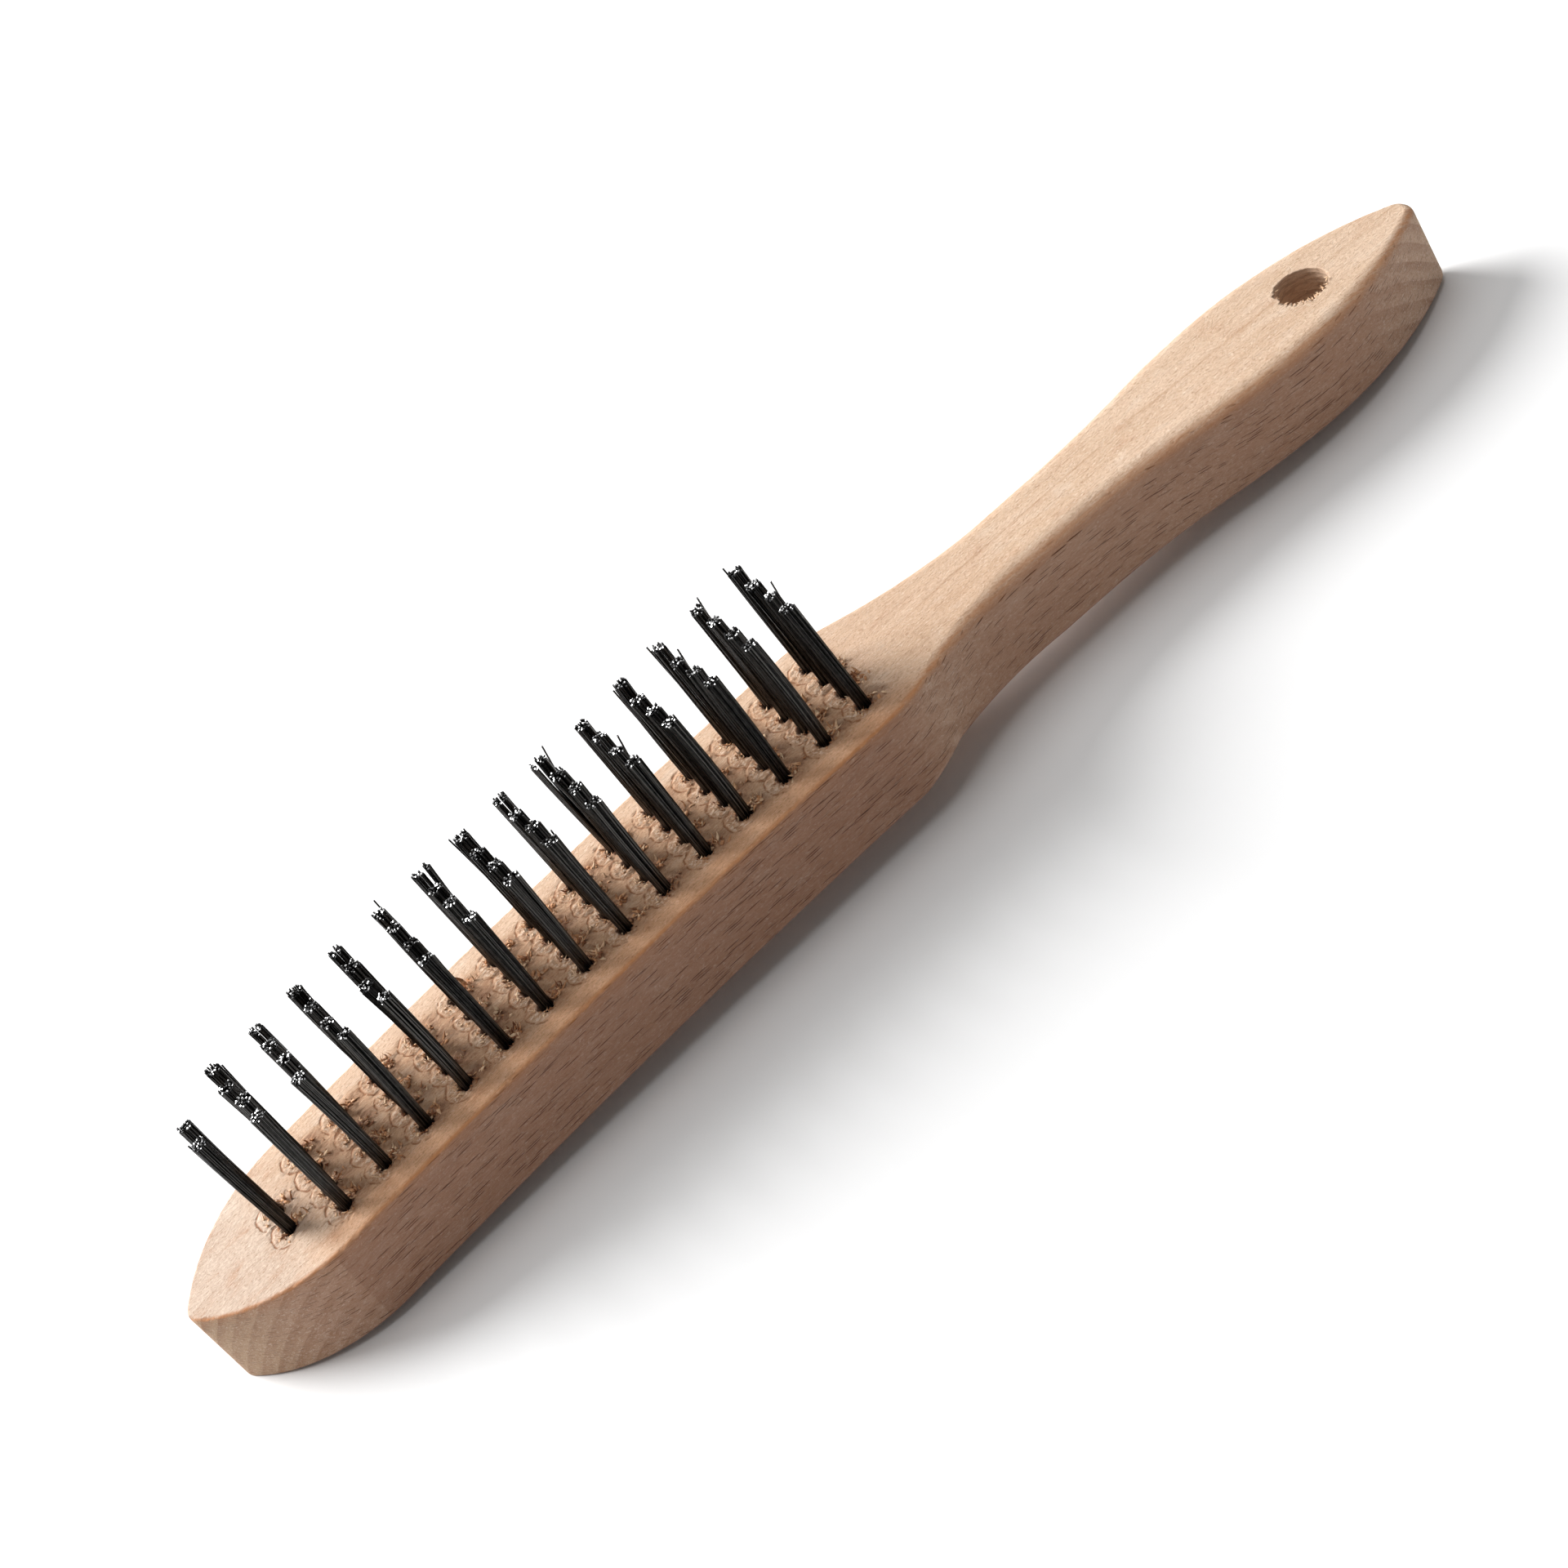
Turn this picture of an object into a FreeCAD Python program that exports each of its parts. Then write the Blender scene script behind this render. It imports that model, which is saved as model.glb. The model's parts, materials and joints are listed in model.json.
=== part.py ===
import FreeCAD, Part
import math
import os

# Hand wire brush: a one-piece beech block, wire tufts in blind holes, and one flat steel anchor
# at the bottom of each hole, over which the tuft's wires are folded.
#
# Everything is drawn in the block's own frame and then seated. In that frame X runs from the
# nose tip to the tail, Y is across, and Z is along the tufts, with Z = 0 at the crown of the
# bristle face. Seating turns the block so that it lies on the two ends of its bowed back.
# Lengths are in millimetres and angles in degrees.

# Block, seen from the bristle side: arcs that run into each other without a corner
LENGTH = 290.5
HEAD_HALF_WIDTH = 16.5
NOSE_ARC_R = 35.0
NOSE_TIP_R = 3.5
SHOULDER_X = 151.2
SHOULDER_R = 33.5
SHOULDER_TURN = 19.0
NECK_R = 85.0
GRIP_TURN = 9.2
GRIP_HOLLOW_R = 177.0
GRIP_SWELL_R = 136.0
TAIL_ARC_R = 71.0
TAIL_TIP_R = 3.7

# Block, seen from the side: one bow, with the back parallel to the bristle face
CROWN_X = 101.0
BOW_R = 1650.0
THICKNESS = 18.4
REST_FLAT_DEPTH = 0.5

# Rounding of the long edges, which is crisp on the head and soft on the grip
HEAD_FACE_EDGE_R = 0.6
NECK_FACE_EDGE_R = 4.2
GRIP_FACE_EDGE_R = 3.2
TAIL_FACE_EDGE_R = 1.4
HEAD_BACK_EDGE_R = 1.0
NECK_BACK_EDGE_R = 5.2
GRIP_BACK_EDGE_R = 2.4

# Hanging hole
HANG_HOLE_X = 264.5
HANG_HOLE_R = 5.0

# Tuft field: one nose row of two tufts, then full rows of four
ROWS = 15
ROW_PITCH = 9.3
FIRST_ROW_X = 22.25
COLUMN_PITCH = 5.9
COLUMN_NAMES = "abcd"
NOSE_ROW_COLUMNS = "bc"

# Tuft, hole and anchor
HOLE_DEPTH = 13.0
HOLE_R = 1.33
TUFT_R = 1.3
TUFT_TIP_R = 1.6
TUFT_FOLD_R = 0.8
TRIM_HEIGHT = 24.4
ANCHOR_THICKNESS = 0.5
ANCHOR_WIDTH = 3.6
ANCHOR_HEIGHT = 1.8
ANCHOR_LIFT = 1.2
ANCHOR_CLEARANCE = 0.02

# Reach of the construction solids past the block
OVERSIZE = 40.0

# Where the shoulder curve ends and where the neck is reached
SHOULDER_END_X = SHOULDER_X + SHOULDER_R * math.sin(math.radians(SHOULDER_TURN))
NECK_X = SHOULDER_END_X + NECK_R * math.sin(math.radians(SHOULDER_TURN))


def vec(x, y, z=0.0):
    return FreeCAD.Vector(x, y, z)


def mirrored(point):
    return vec(point.x, -point.y, point.z)


def arc(start, middle, end):
    return Part.Arc(start, middle, end).toShape()


def on_circle(centre, radius, angle):
    return centre + radius * vec(math.cos(angle), math.sin(angle))


def end_of_outline(shoulder, arc_radius, tip_radius, side):
    """The big arc that leaves the shoulder and the tip arc it runs into.

    side is -1 at the nose and 1 at the tail. Gives the point where the arcs meet, the big arc's
    middle point, and the tip."""
    centre = vec(shoulder.x, shoulder.y - arc_radius)
    reach = side * math.sqrt((arc_radius - tip_radius) ** 2 - centre.y ** 2)
    joint_angle = math.atan2(-centre.y, reach)
    joint = on_circle(centre, arc_radius, joint_angle)
    middle = on_circle(centre, arc_radius, (joint_angle + math.pi / 2) / 2)
    tip = vec(shoulder.x + reach + side * tip_radius, 0)
    return joint, middle, tip


def turn_arc(start, heading, radius, turn):
    """Arc that leaves start at heading and turns by turn degrees, to the left when positive."""
    to_centre = heading + math.copysign(90.0, turn)
    centre = on_circle(start, radius, math.radians(to_centre))
    middle = on_circle(centre, radius, math.radians(to_centre + 180.0 + turn / 2))
    end = on_circle(centre, radius, math.radians(to_centre + 180.0 + turn))
    return arc(start, middle, end), end


def nose_outline():
    """Shoulder of the nose, its outline edge and its tip arc."""
    reach = -end_of_outline(vec(0, HEAD_HALF_WIDTH), NOSE_ARC_R, NOSE_TIP_R, -1)[2].x
    shoulder = vec(reach, HEAD_HALF_WIDTH)
    joint, middle, tip = end_of_outline(shoulder, NOSE_ARC_R, NOSE_TIP_R, -1)
    return shoulder, arc(joint, middle, shoulder), arc(mirrored(joint), tip, joint)


def neck_outline(start):
    """Shoulder and neck edges, and the point where the neck is narrowest."""
    shoulder, shoulder_end = turn_arc(start, 0.0, SHOULDER_R, -SHOULDER_TURN)
    neck, neck_point = turn_arc(shoulder_end, -SHOULDER_TURN, NECK_R, SHOULDER_TURN)
    return [shoulder, neck], neck_point


def grip_outline(neck_point):
    """Edges from the neck to the tail, and the tail's tip arc. The straight takes up the length."""
    grip_reach = (GRIP_HOLLOW_R + GRIP_SWELL_R) * math.sin(math.radians(GRIP_TURN))
    grip_rise = (GRIP_HOLLOW_R + GRIP_SWELL_R) * (1 - math.cos(math.radians(GRIP_TURN)))
    tail_reach = end_of_outline(vec(0, neck_point.y + grip_rise), TAIL_ARC_R, TAIL_TIP_R, 1)[2].x
    straight_end = vec(LENGTH - tail_reach - grip_reach, neck_point.y)
    hollow, hollow_end = turn_arc(straight_end, 0.0, GRIP_HOLLOW_R, GRIP_TURN)
    swell, widest = turn_arc(hollow_end, GRIP_TURN, GRIP_SWELL_R, -GRIP_TURN)
    joint, middle, tip = end_of_outline(widest, TAIL_ARC_R, TAIL_TIP_R, 1)
    edges = [Part.makeLine(neck_point, straight_end), hollow, swell, arc(widest, middle, joint)]
    return edges, arc(mirrored(joint), tip, joint)


def plan_prism():
    nose_shoulder, nose_side, nose_tip = nose_outline()
    head_end = vec(SHOULDER_X, HEAD_HALF_WIDTH)
    neck_edges, neck_point = neck_outline(head_end)
    grip_edges, tail_tip = grip_outline(neck_point)
    side = [nose_side, Part.makeLine(nose_shoulder, head_end)] + neck_edges + grip_edges
    other_side = [edge.mirror(vec(0, 0), vec(0, 1)) for edge in side]
    wire = Part.Wire(Part.sortEdges([nose_tip, tail_tip] + side + other_side)[0])
    prism = Part.Face(wire).extrude(vec(0, 0, 2 * OVERSIZE))
    prism.translate(vec(0, 0, -OVERSIZE))
    return prism


def bow_height(x, drop=0.0):
    """Height of the bristle face at x, or of a parallel surface that lies drop below it."""
    return math.sqrt((BOW_R - drop) ** 2 - (x - CROWN_X) ** 2) - BOW_R


def bow_arc(drop):
    """The bow from end to end, drop below the bristle face, reaching past both ends."""
    stations = (-OVERSIZE, CROWN_X, LENGTH + OVERSIZE)
    return [vec(x, -OVERSIZE, bow_height(x, drop)) for x in stations]


def side_prism():
    face = bow_arc(0.0)
    back = bow_arc(THICKNESS)
    edges = [arc(*face), Part.makeLine(face[2], back[2]), arc(*back), Part.makeLine(back[0], face[0])]
    wire = Part.Wire(Part.sortEdges(edges)[0])
    return Part.Face(wire).extrude(vec(0, 2 * OVERSIZE, 0))


def radius_at(x, stations):
    """Edge radius at x, changing evenly between (x, radius) stations and constant outside them."""
    if x <= stations[0][0]:
        return stations[0][1]
    for (x0, radius0), (x1, radius1) in zip(stations, stations[1:]):
        if x <= x1:
            return radius0 + (radius1 - radius0) * (x - x0) / (x1 - x0)
    return stations[-1][1]


def is_long_edge(edge, on_face):
    """Whether edge runs along the block, on its bristle face or on its back."""
    box = edge.BoundBox
    runs_along = box.ZLength < THICKNESS / 2 and (box.XLength > 0.1 * box.YLength)
    middle = bow_height(edge.CenterOfMass.x, THICKNESS / 2)
    return runs_along and (edge.CenterOfMass.z > middle) == on_face


def rounded(solid, on_face, stations):
    """The block with its long edges rounded on one side."""
    edge_radii = []
    for number, edge in enumerate(solid.Edges, 1):
        if is_long_edge(edge, on_face):
            ends = [edge.valueAt(parameter).x for parameter in edge.ParameterRange]
            edge_radii.append((number, radius_at(ends[0], stations), radius_at(ends[1], stations)))
    document = FreeCAD.newDocument()
    base = document.addObject("Part::Feature", "base")
    base.Shape = solid
    fillet = document.addObject("Part::Fillet", "fillet")
    fillet.Base = base
    fillet.Edges = edge_radii
    document.recompute()
    result = fillet.Shape.Solids[0].copy()
    FreeCAD.closeDocument(document.Name)
    return result


def rounded_block():
    face_radii = [(SHOULDER_X, HEAD_FACE_EDGE_R), (NECK_X, NECK_FACE_EDGE_R),
                  (HANG_HOLE_X, GRIP_FACE_EDGE_R), (LENGTH, TAIL_FACE_EDGE_R)]
    back_radii = [(SHOULDER_X, HEAD_BACK_EDGE_R), (SHOULDER_END_X, NECK_BACK_EDGE_R),
                  (NECK_X, GRIP_BACK_EDGE_R)]
    block = plan_prism().common(side_prism()).Solids[0]
    return rounded(rounded(block, True, face_radii), False, back_radii)


def tuft_places():
    """Row number, column letter, x and y of every tuft."""
    for row in range(1, ROWS + 1):
        x = FIRST_ROW_X + (row - 1) * ROW_PITCH
        for index, column in enumerate(COLUMN_NAMES):
            if row > 1 or column in NOSE_ROW_COLUMNS:
                y = ((len(COLUMN_NAMES) - 1) / 2 - index) * COLUMN_PITCH
                yield row, column, x, y


def anchor_plate(x, y, clearance=0.0):
    """Flat plate across the grain, wider than the hole so that it bites into its walls."""
    thickness = ANCHOR_THICKNESS + 2 * clearance
    width = ANCHOR_WIDTH + 2 * clearance
    height = ANCHOR_HEIGHT + 2 * clearance
    corner = vec(x - thickness / 2, y - width / 2, ANCHOR_LIFT - HOLE_DEPTH - clearance)
    return Part.makeBox(thickness, width, height, corner)


def blind_hole(x, y):
    """Drilled hole with the pocket that the anchor cuts into its walls."""
    hole = Part.makeCylinder(HOLE_R, HOLE_DEPTH + OVERSIZE, vec(x, y, -HOLE_DEPTH))
    return hole.fuse(anchor_plate(x, y, ANCHOR_CLEARANCE))


def tuft(x, y):
    """Bundle of folded wires: rounded at the fold, straight in the hole, flaring to its tips."""
    bottom = -HOLE_DEPTH
    fold_centre = vec(TUFT_R - TUFT_FOLD_R, 0, bottom + TUFT_FOLD_R)
    fold_low = vec(fold_centre.x, 0, bottom)
    fold_side = vec(TUFT_R, 0, fold_centre.z)
    fold_middle = fold_centre + vec(math.sqrt(0.5), 0, -math.sqrt(0.5)) * TUFT_FOLD_R
    corners = [fold_side, vec(TUFT_R, 0, 0), vec(TUFT_TIP_R, 0, TRIM_HEIGHT),
               vec(0, 0, TRIM_HEIGHT), vec(0, 0, bottom), fold_low]
    lines = [Part.makeLine(start, end) for start, end in zip(corners, corners[1:])]
    profile = Part.Face(Part.Wire([arc(fold_low, fold_middle, fold_side)] + lines))
    bundle = profile.revolve(vec(0, 0), vec(0, 0, 1), 360)
    bundle.translate(vec(x, y))
    return bundle.cut(anchor_plate(x, y, ANCHOR_CLEARANCE))


def drilled_block():
    hang_hole = Part.makeCylinder(HANG_HOLE_R, 2 * OVERSIZE, vec(HANG_HOLE_X, 0, -OVERSIZE))
    holes = [blind_hole(x, y) for _, _, x, y in tuft_places()]
    return rounded_block().cut([hang_hole] + holes).Solids[0]


def placed(shape, placement):
    return shape.transformed(placement.toMatrix(), True)


def seat_placement(block):
    """Levels the two ends of the back and puts the origin below the middle of the block."""
    back_drop = bow_height(0, THICKNESS) - bow_height(LENGTH, THICKNESS)
    tilt = -math.degrees(math.atan2(back_drop, LENGTH))
    turn = FreeCAD.Placement(vec(0, 0), FreeCAD.Rotation(vec(0, 1, 0), tilt))
    box = placed(block, turn).optimalBoundingBox()
    base = vec(-(box.XMin + box.XMax) / 2, 0, -box.ZMin - REST_FLAT_DEPTH)
    return FreeCAD.Placement(base, FreeCAD.Rotation()).multiply(turn)


def with_rest_flats(block):
    """The block with a small flat under each end, where it lies on a bench."""
    bench = Part.makeBox(2 * LENGTH, 2 * OVERSIZE, OVERSIZE, vec(-LENGTH, -OVERSIZE, -OVERSIZE))
    return block.cut(bench).Solids[0]


def save(name, shape):
    shape.exportStep(os.path.join("parts", name + ".step"))


def main():
    os.makedirs("parts", exist_ok=True)
    block = drilled_block()
    seat = seat_placement(block)
    save("handle_block", with_rest_flats(placed(block, seat)))
    anchors = []
    for row, column, x, y in tuft_places():
        save("tuft_row%02d_%s" % (row, column), placed(tuft(x, y), seat))
        anchors.append(placed(anchor_plate(x, y), seat))
    save("tuft_anchors", Part.makeCompound(anchors))


main()
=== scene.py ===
import json
import math
import random

import bmesh
import bpy
import numpy as np
from mathutils import Matrix, Vector, noise


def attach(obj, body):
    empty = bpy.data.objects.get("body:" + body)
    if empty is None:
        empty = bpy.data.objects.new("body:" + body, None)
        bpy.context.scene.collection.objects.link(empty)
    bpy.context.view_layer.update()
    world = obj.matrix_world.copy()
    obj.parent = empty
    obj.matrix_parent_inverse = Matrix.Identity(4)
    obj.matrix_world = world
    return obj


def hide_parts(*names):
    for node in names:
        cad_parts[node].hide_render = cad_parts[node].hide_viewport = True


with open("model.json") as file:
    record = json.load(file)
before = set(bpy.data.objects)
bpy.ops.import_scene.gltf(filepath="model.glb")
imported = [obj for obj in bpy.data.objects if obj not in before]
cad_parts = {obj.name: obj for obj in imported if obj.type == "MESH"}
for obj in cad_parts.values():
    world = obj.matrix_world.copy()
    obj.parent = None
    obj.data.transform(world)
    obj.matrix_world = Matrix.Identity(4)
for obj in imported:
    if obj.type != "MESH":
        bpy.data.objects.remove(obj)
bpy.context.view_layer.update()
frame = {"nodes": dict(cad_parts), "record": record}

# Hand wire brush. Shapes are made in the block's own frame, in millimetres: x from the nose tip
# to the tail, y across, z along the tufts, with z = 0 at the crown of the bristle face. SEAT
# turns that frame to where the CAD model lies and makes it metres.

# Block, as in the CAD design
LENGTH = 290.5
HEAD_HALF_WIDTH = 16.5
NOSE_ARC_R = 35.0
NOSE_TIP_R = 3.5
SHOULDER_X = 151.2
SHOULDER_R = 33.5
SHOULDER_TURN = 19.0
NECK_R = 85.0
GRIP_TURN = 9.2
GRIP_HOLLOW_R = 177.0
GRIP_SWELL_R = 136.0
TAIL_ARC_R = 71.0
TAIL_TIP_R = 3.7
CROWN_X = 101.0
BOW_R = 1650.0
THICKNESS = 18.4
SHOULDER_END_X = SHOULDER_X + SHOULDER_R * math.sin(math.radians(SHOULDER_TURN))
NECK_X = SHOULDER_END_X + NECK_R * math.sin(math.radians(SHOULDER_TURN))
PLANED_FROM_X = 24.5
HANG_HOLE_X = 264.5
HANG_HOLE_R = 5.0

# Radius of the rounded long edges, at stations along x
FACE_EDGE = ((SHOULDER_X, NECK_X, HANG_HOLE_X, LENGTH), (0.6, 4.2, 3.2, 1.4))
BACK_EDGE = ((SHOULDER_X, SHOULDER_END_X, NECK_X), (1.0, 5.2, 2.4))

# Points from the middle of the face to its rounding, along each rounding, down the side and on the back,
# with both ends counted
FACE_COLUMNS = 52
EDGE_COLUMNS = 6
SIDE_COLUMNS = 9
BACK_COLUMNS = 6

# Tufts, as in the CAD design
ROWS = 15
ROW_PITCH = 9.3
FIRST_ROW_X = 22.25
COLUMN_PITCH = 5.9
COLUMN_NAMES = "abcd"
NOSE_ROW_COLUMNS = "bc"
HOLE_DEPTH = 13.0
HOLE_R = 1.33
TRIM_HEIGHT = 24.4

# Wires: one is folded once, round the underside of the anchor
WIRE_R = 0.165
STRAND_PITCH = 0.335
BUNDLE_R = 1.32
WIRE_SIDES = 7
FOLD_HEIGHT = 1.15
FOLD_STEPS = 4

# Mark that the tufting machine's nozzle presses into the face round each tuft
RING_R = 3.3
RING_OFFSET = -0.8
RING_DEPTH = 0.1
RING_HALF_WIDTH = 0.3

# Wood disturbed round each tuft: a burr at the hole and a torn heap on the tail side
CARVED_R = 5.2
BURR_R = 1.8
BURR_HALF_WIDTH = 0.5
HEAP_OFFSET = 2.8
HEAP_HALF_LENGTH = 2.1
HEAP_HALF_WIDTH = 2.2
LUMP_HEIGHT = 0.28

# Hanging hole: depth and pitch of the drill's spirals, and the tears at its rim, where the angle of the
# most torn side is in radians from the tail
DRILL_SPIRALS = ((0.06, 1.3), (0.03, 0.7))
RIM_TEARS = 11
RIM_TEAR_SIZE = 1.25
RIM_TEAR_DEPTH = 1.1
RIM_TEAR_ANGLE = -2.3
RIM_FLARE = 0.12

# Nicks along the rounded edges
NICK_DEPTH = 0.22

# Camera, and the light it works in
CAMERA_TARGET = Vector((-0.01172, -0.00502, 0.02))
CAMERA_DISTANCE = 0.6017
CAMERA_ELEVATION = 38.863
CAMERA_AZIMUTH = 12.736
CAMERA_ROLL = -34.428
CAMERA_LENS = 80.75
LIGHT_DISTANCE = 4.0
FLOOR_R = 1.8
HORIZON_LIGHT = 0.78
SKY_LIGHT = 0.12

MM = 0.001
rng = random.Random(7)


# ---------------------------------------------------------------- frame of the block

def tuft_names():
    """Row number, column letter and CAD node of every tuft."""
    for row in range(1, ROWS + 1):
        for column in COLUMN_NAMES:
            if row > 1 or column in NOSE_ROW_COLUMNS:
                yield row, column, "tuft_row%02d_%s" % (row, column)


def tuft_place(row, column):
    x = FIRST_ROW_X + (row - 1) * ROW_PITCH
    y = ((len(COLUMN_NAMES) - 1) / 2 - COLUMN_NAMES.index(column)) * COLUMN_PITCH
    return x, y


def tip_centre(node, axis):
    """Middle of the flat end of a CAD tuft, in metres."""
    points = [vertex.co for vertex in frame["nodes"][node].data.vertices]
    top = max(point.dot(axis) for point in points)
    ends = [point for point in points if point.dot(axis) > top - 1e-6]
    low = Vector([min(point[k] for point in ends) for k in range(3)])
    high = Vector([max(point[k] for point in ends) for k in range(3)])
    return (low + high) / 2


def seat_matrix():
    """Block frame in millimetres to the shared frame in metres, read off the CAD model."""
    mount = next(m for m in frame["record"]["mounts"] if m["name"] == "hanging_hole")
    up = Vector(mount["axis"]).normalized()
    along = Vector((up.z, 0, -up.x))
    x, y = tuft_place(ROWS, "d")
    tip = tip_centre("tuft_row%02d_d" % ROWS, up)
    origin = tip - MM * (along * x + Vector((0, y, 0)) + up * TRIM_HEIGHT)
    turn = Matrix((along, Vector((0, 1, 0)), up)).transposed()
    return Matrix.Translation(origin) @ turn.to_4x4() @ Matrix.Scale(MM, 4)


SEAT = seat_matrix()


def bow_height(x):
    """Height of the bristle face at x."""
    return np.sqrt(BOW_R ** 2 - (np.asarray(x) - CROWN_X) ** 2) - BOW_R


def new_mesh(name, points, faces):
    mesh = bpy.data.meshes.new(name)
    mesh.from_pydata(points, [], faces)
    return mesh


def add_object(name, data):
    """New object in the scene, made of data."""
    made = bpy.data.objects.new(name, data)
    bpy.context.collection.objects.link(made)
    return made


# ---------------------------------------------------------------- node helpers

def srgb(red, green, blue):
    """Linear colour of 8-bit display values."""
    values = [value / 255 for value in (red, green, blue)]
    return [v / 12.92 if v <= 0.04045 else ((v + 0.055) / 1.055) ** 2.4 for v in values] + [1.0]


class Nodes:
    """A new node material, with short calls for the nodes it is made of."""

    def __init__(self, name):
        self.material = bpy.data.materials.new(name)
        self.material.use_nodes = True
        self.tree = self.material.node_tree
        self.shader = self.tree.nodes["Principled BSDF"]

    def node(self, kind, inputs=None, output=0, **settings):
        made = self.tree.nodes.new(kind)
        for name, value in settings.items():
            setattr(made, name, value)
        for name, value in (inputs or {}).items():
            self.set(made.inputs[name], value)
        return made.outputs[output]

    def set(self, socket, value):
        if isinstance(value, bpy.types.NodeSocket):
            self.tree.links.new(value, socket)
        else:
            socket.default_value = value

    def math(self, operation, a, b=0.0, c=0.0):
        return self.node("ShaderNodeMath", {0: a, 1: b, 2: c}, operation=operation)

    def product(self, first, *others):
        for other in others:
            first = self.math("MULTIPLY", first, other)
        return first

    def smooth(self, value, low, high, to_low=0.0, to_high=1.0):
        """Smooth step of value from to_low at low to to_high at high, where low may be the larger."""
        inputs = {"Value": value, "From Min": low, "From Max": high, "To Min": to_low, "To Max": to_high}
        return self.node("ShaderNodeMapRange", inputs, interpolation_type="SMOOTHSTEP")

    def scaled(self, vector, scale):
        return self.node("ShaderNodeMapping", {"Vector": vector, "Scale": scale})

    def noise(self, vector, scale, detail=2.0, roughness=0.5, distortion=0.0):
        inputs = {"Vector": vector, "Scale": scale, "Detail": detail, "Roughness": roughness,
                  "Distortion": distortion}
        return self.node("ShaderNodeTexNoise", inputs)

    def mix(self, factor, a, b, blend="MIX"):
        inputs = {0: factor, 6: a, 7: b}
        return self.node("ShaderNodeMix", inputs, output=2, data_type="RGBA", blend_type=blend)

    def tint(self, colour, tone, *amounts):
        """Colour moved towards tone by the product of amounts."""
        return self.mix(self.product(*amounts), colour, srgb(*tone))

    def filtered(self, colour, share, *amounts):
        """Colour that keeps this share of red, green and blue where the product of amounts is 1."""
        return self.mix(self.product(*amounts), colour, (*share, 1.0), "MULTIPLY")

    def combine(self, x, y, z):
        return self.node("ShaderNodeCombineXYZ", {"X": x, "Y": y, "Z": z})

    def separate(self, vector):
        made = self.tree.nodes.new("ShaderNodeSeparateXYZ")
        self.set(made.inputs[0], vector)
        return made.outputs

    def attribute(self, name):
        return self.node("ShaderNodeAttribute", output=2, attribute_name=name)

    def bump(self, height, distance, strength=1.0):
        inputs = {"Height": height, "Distance": distance, "Strength": strength}
        return self.node("ShaderNodeBump", inputs)


# ---------------------------------------------------------------- beech

# Colours of the beech as 8-bit display values. A pair is mixed by the figure of the wood.
SANDED = ((230, 201, 174), (220, 188, 158))
# The side colours are partly the wood's own tone and partly painted shade of sides turned from the light
SHAPED_AND_SHADED = ((181, 143, 119), (169, 130, 106))
PLANED_AND_SHADED = ((168, 128, 105), (160, 120, 97))
NOSE = (212, 190, 172)
HEAD = (226, 190, 160)
BARE_END_GRAIN = (212, 180, 156)
END_ON = (206, 180, 144)
DARK_CLOUD = (196, 146, 112)
PALE_CLOUD = (240, 222, 204)
LATEWOOD = (142, 98, 70)
STREAK = (160, 112, 80)
DARK_FIBRE = (140, 94, 66)
PALE_FIBRE = (236, 212, 190)
DARK_NAP = (158, 110, 78)
PALE_NAP = (246, 230, 212)
GROWTH_LINE = (168, 118, 76)
RAY = (74, 42, 28)
PALE_CHIP = (246, 226, 204)
DARK_CHIP = (150, 98, 66)
RING_LINE = (146, 94, 58)
# Ripped wood, with painted shade at the tuft bases and under the heaps
TORN_AND_SHADE = (110, 62, 40)
# Warm line of painted shade on the rounded edges
EDGE_SHADE = (204, 136, 84)
BORE = (232, 200, 172)
DRILL_MARK = (128, 84, 56)

# Growth layers: direction across them (y, z) and thickness. Rays: their spacing along the grain, up a ray
# and from ray to ray, and how far each is shifted along the grain from the one beside it
ACROSS_LAYERS = (0.88, 0.48)
GROWTH_LAYER = 2.3
RAY_LENGTH = 5.2
RAY_HEIGHT = 1.6
RAY_PITCH = 0.25
RAY_SHIFT = -0.618

# Added to the distance from a nozzle mark where the nose row has no tuft
NO_TUFT_DISTANCE = 20.0


def grain_coordinates(nodes):
    """Block coordinates in millimetres, with z straightened along the bow."""
    inverse = SEAT.inverted()
    position = nodes.node("ShaderNodeTexCoord", output=3)
    placed = nodes.node("ShaderNodeMapping", {
        "Vector": position,
        "Location": inverse.translation,
        "Rotation": inverse.to_euler(),
        "Scale": inverse.to_scale(),
    })
    x, y, z = nodes.separate(placed)
    from_crown = nodes.math("SUBTRACT", x, CROWN_X)
    fall = nodes.product(from_crown, from_crown, 0.5 / BOW_R)
    return x, y, nodes.math("ADD", z, fall)


class Beech(Nodes):
    """The beech's nodes, with the places and noises along the grain that its look is worked out from."""

    def __init__(self):
        super().__init__("beech")
        self.x, self.y, self.z = grain_coordinates(self)
        self.place = self.combine(self.x, self.y, self.z)
        facing = self.separate(self.node("ShaderNodeNewGeometry", output=1))
        along = self.math("ABSOLUTE", facing[0])
        self.on_top = self.smooth(facing[2], 0.5, 0.93)
        self.end_grain = self.smooth(along, 0.08, 0.5)
        self.end_on = self.smooth(along, 0.35, 0.85, 0.0, 0.4)
        self.warp = self.grain(110, 34, 2.0)
        self.figure = self.smooth(self.grain(60, 9, 3.0, 0.6), 0.3, 0.7)
        self.cloud = self.grain(7, 3.5, 3.0, 0.6)
        self.streak = self.grain(18, 0.7, 3.0, 0.65)
        self.fibre = self.grain(2.0, 0.2, 3.0, 0.7)
        self.nap = self.grain(0.7, 0.36, 3.0, 0.75, 0.8)
        self.chips = self.grain(0.9, 0.55, 4.0, 0.7, 0.6)

    def grain(self, length, width, *settings):
        """Noise with features this long and wide, in millimetres."""
        return self.noise(self.scaled(self.place, (1 / length, 1 / width, 1 / width)), 1.0, *settings)


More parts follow.
